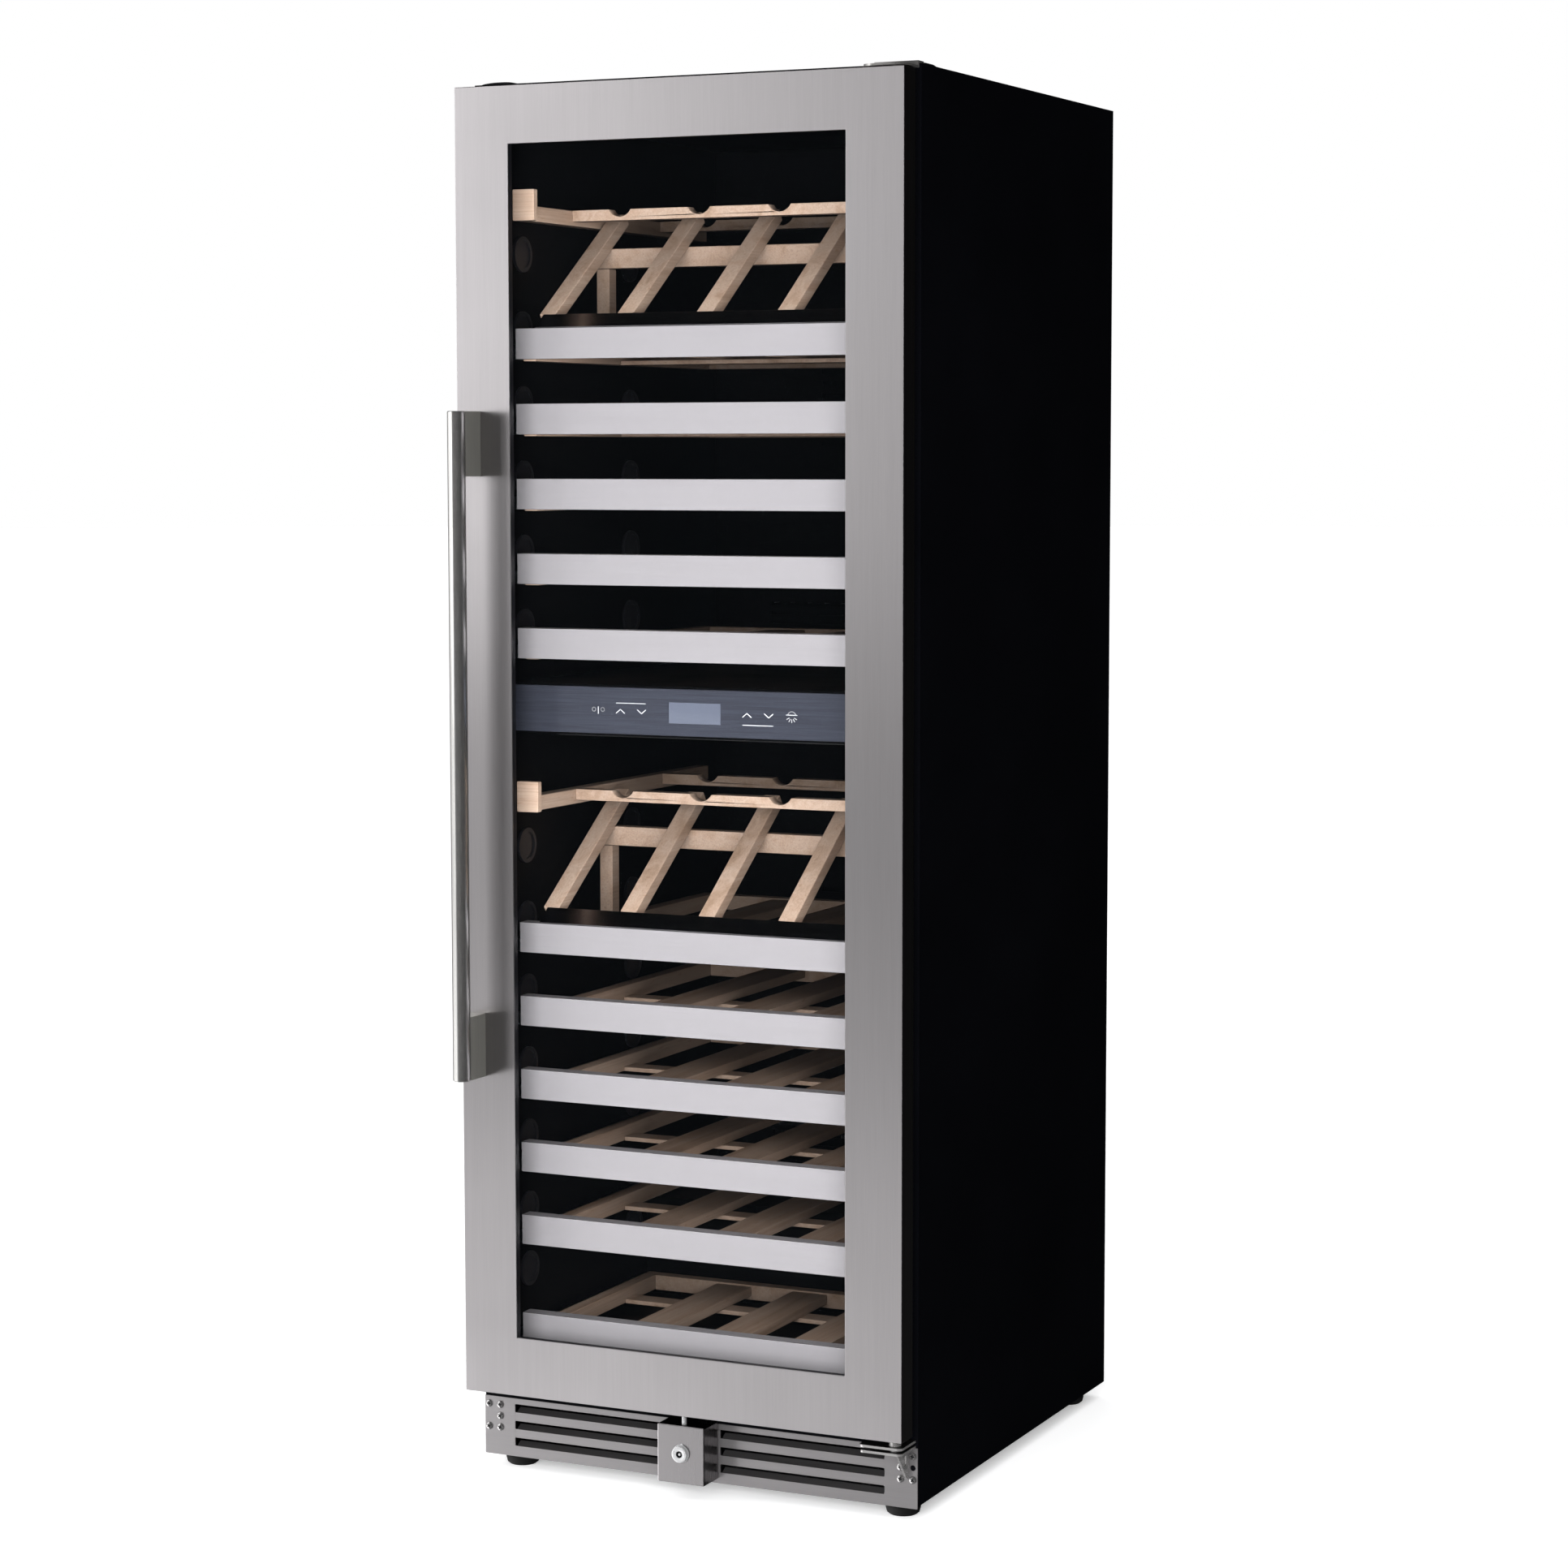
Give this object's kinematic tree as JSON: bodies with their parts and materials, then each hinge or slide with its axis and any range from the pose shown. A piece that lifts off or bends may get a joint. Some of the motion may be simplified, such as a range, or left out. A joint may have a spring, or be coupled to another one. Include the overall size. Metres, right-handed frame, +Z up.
{
  "type": "wine cooler",
  "caption": "Tall two-zone wine cooler with a glazed steel door, beech shelves, a centre control strip and a vented kick plate with a lock.",
  "frame": {"origin": "on the floor, under the middle of the whole object's bounding box", "axes": "+Z up; the door faces -Y; +X is to the right as you face the door, where the hinges are"},
  "size_m": [0.594, 0.753, 1.7322],
  "materials": {
    "black_steel": "satin black powder coat",
    "black_liner": "glossy black",
    "foam": "closed-cell foam",
    "rear_steel": "matt dark grey",
    "zinc_steel": "dull zinc",
    "brushed_steel": "brushed",
    "bright_screws": "bright",
    "lock_chrome": "satin",
    "hinge_steel": "satin",
    "black_plastic": "fine moulded",
    "foot_rubber": "matt",
    "tinted_glass": "clear, slightly grey",
    "gasket_rubber": "soft, matt",
    "handle_steel": "brushed lengthways",
    "panel_steel": "brushed, dark blue grey",
    "display": "unlit window",
    "circuit_board": "solder mask",
    "led_lens": "frosted",
    "pad_plastic": "satin",
    "rail_steel": "satin",
    "fin_aluminium": "satin",
    "fan_plastic": "matt",
    "condenser_steel": "satin black",
    "compressor_steel": "satin black",
    "beech": "oiled beech",
    "trim_steel": "fine satin"
  },
  "bodies": {
    "cabinet": {"cabinet_shell": "black_steel", "inner_liner": "black_liner", "insulation_foam": "foam", "back_panel": "rear_steel", "base_pan": "zinc_steel", "kick_grille": "brushed_steel", "grille_screws": "bright_screws", "lock_box": "brushed_steel", "lower_hinge": "hinge_steel", "upper_hinge": "hinge_steel", "hinge_cover": "black_plastic", "hinge_hole_cover": "black_plastic", "leveling_feet": "foot_rubber", "control_panel": "panel_steel", "display_window": "display", "control_board": "circuit_board", "led_strips": "led_lens", "wall_pads": "pad_plastic", "shelf_rails": "rail_steel", "air_ducts": "black_liner", "evaporators": "fin_aluminium", "condenser": "condenser_steel", "compressor": "compressor_steel", "power_inlet": "black_plastic", "half_shelves": "beech"},
    "door": {"door_frame": "brushed_steel", "door_inner_frame": "black_plastic", "door_glass": "tinted_glass", "door_gasket": "gasket_rubber", "handle_bar": "handle_steel", "handle_posts": "handle_steel"},
    "evap_rotor_upper": {"evap_fan_upper": "fan_plastic"},
    "evap_rotor_lower": {"evap_fan_lower": "fan_plastic"},
    "condenser_rotor": {"condenser_fan": "fan_plastic"},
    "lock": {"lock_cylinder": "lock_chrome"},
    "bolt": {"lock_bolt": "lock_chrome"},
    "shelf_01": {"shelf_01_frame": "beech", "shelf_01_trim": "trim_steel"},
    "shelf_02": {"shelf_02_frame": "beech", "shelf_02_trim": "trim_steel"},
    "shelf_03": {"shelf_03_frame": "beech", "shelf_03_trim": "trim_steel"},
    "shelf_04": {"shelf_04_frame": "beech", "shelf_04_trim": "trim_steel"},
    "shelf_05": {"shelf_05_frame": "beech", "shelf_05_trim": "trim_steel"},
    "shelf_06": {"shelf_06_frame": "beech", "shelf_06_trim": "trim_steel"},
    "shelf_07": {"shelf_07_frame": "beech", "shelf_07_trim": "trim_steel"},
    "shelf_08": {"shelf_08_frame": "beech", "shelf_08_trim": "trim_steel"},
    "shelf_09": {"shelf_09_frame": "beech", "shelf_09_trim": "trim_steel"},
    "shelf_10": {"shelf_10_frame": "beech", "shelf_10_trim": "trim_steel"},
    "shelf_11": {"shelf_11_frame": "beech", "shelf_11_trim": "trim_steel"}
  },
  "joints": [
    {"name": "door_hinge", "type": "hinge", "parent": "cabinet", "child": "door", "pos_m": [0.28, -0.3035, 0], "axis": [0, 0, 1], "range_deg": [0, 115]},
    {"name": "shelf_01_slide", "type": "slide", "parent": "cabinet", "child": "shelf_01", "axis": [0, -1, 0], "range_m": [0, 0.02]},
    {"name": "shelf_02_slide", "type": "slide", "parent": "cabinet", "child": "shelf_02", "axis": [0, -1, 0], "range_m": [0, 0.02]},
    {"name": "shelf_03_slide", "type": "slide", "parent": "cabinet", "child": "shelf_03", "axis": [0, -1, 0], "range_m": [0, 0.02]},
    {"name": "shelf_04_slide", "type": "slide", "parent": "cabinet", "child": "shelf_04", "axis": [0, -1, 0], "range_m": [0, 0.02]},
    {"name": "shelf_05_slide", "type": "slide", "parent": "cabinet", "child": "shelf_05", "axis": [0, -1, 0], "range_m": [0, 0.02]},
    {"name": "shelf_06_slide", "type": "slide", "parent": "cabinet", "child": "shelf_06", "axis": [0, -1, 0], "range_m": [0, 0.02]},
    {"name": "shelf_07_slide", "type": "slide", "parent": "cabinet", "child": "shelf_07", "axis": [0, -1, 0], "range_m": [0, 0.02]},
    {"name": "shelf_08_slide", "type": "slide", "parent": "cabinet", "child": "shelf_08", "axis": [0, -1, 0], "range_m": [0, 0.02]},
    {"name": "shelf_09_slide", "type": "slide", "parent": "cabinet", "child": "shelf_09", "axis": [0, -1, 0], "range_m": [0, 0.02]},
    {"name": "shelf_10_slide", "type": "slide", "parent": "cabinet", "child": "shelf_10", "axis": [0, -1, 0], "range_m": [0, 0.02]},
    {"name": "shelf_11_slide", "type": "slide", "parent": "cabinet", "child": "shelf_11", "axis": [0, -1, 0], "range_m": [0, 0.02]},
    {"name": "evap_fan_upper_spin", "type": "hinge", "parent": "cabinet", "child": "evap_rotor_upper", "pos_m": [0, 0.2885, 1.34], "axis": [0, 1, 0], "continuous": true},
    {"name": "evap_fan_lower_spin", "type": "hinge", "parent": "cabinet", "child": "evap_rotor_lower", "pos_m": [0, 0.2885, 0.64], "axis": [0, 1, 0], "continuous": true},
    {"name": "condenser_fan_spin", "type": "hinge", "parent": "cabinet", "child": "condenser_rotor", "pos_m": [-0.13, 0.2765, 0.13], "axis": [0, 1, 0], "continuous": true},
    {"name": "lock_turn", "type": "hinge", "parent": "cabinet", "child": "lock", "pos_m": [0, -0.3035, 0.061], "axis": [0, 1, 0], "range_deg": [0, 90]},
    {"name": "lock_bolt_slide", "type": "slide", "parent": "cabinet", "child": "bolt", "axis": [0, 0, 1], "range_m": [0, 0.012]}
  ],
  "couplings": [
    {"joint": "lock_bolt_slide", "follows": "lock_turn", "m_per_rad": 0.00763}
  ]
}
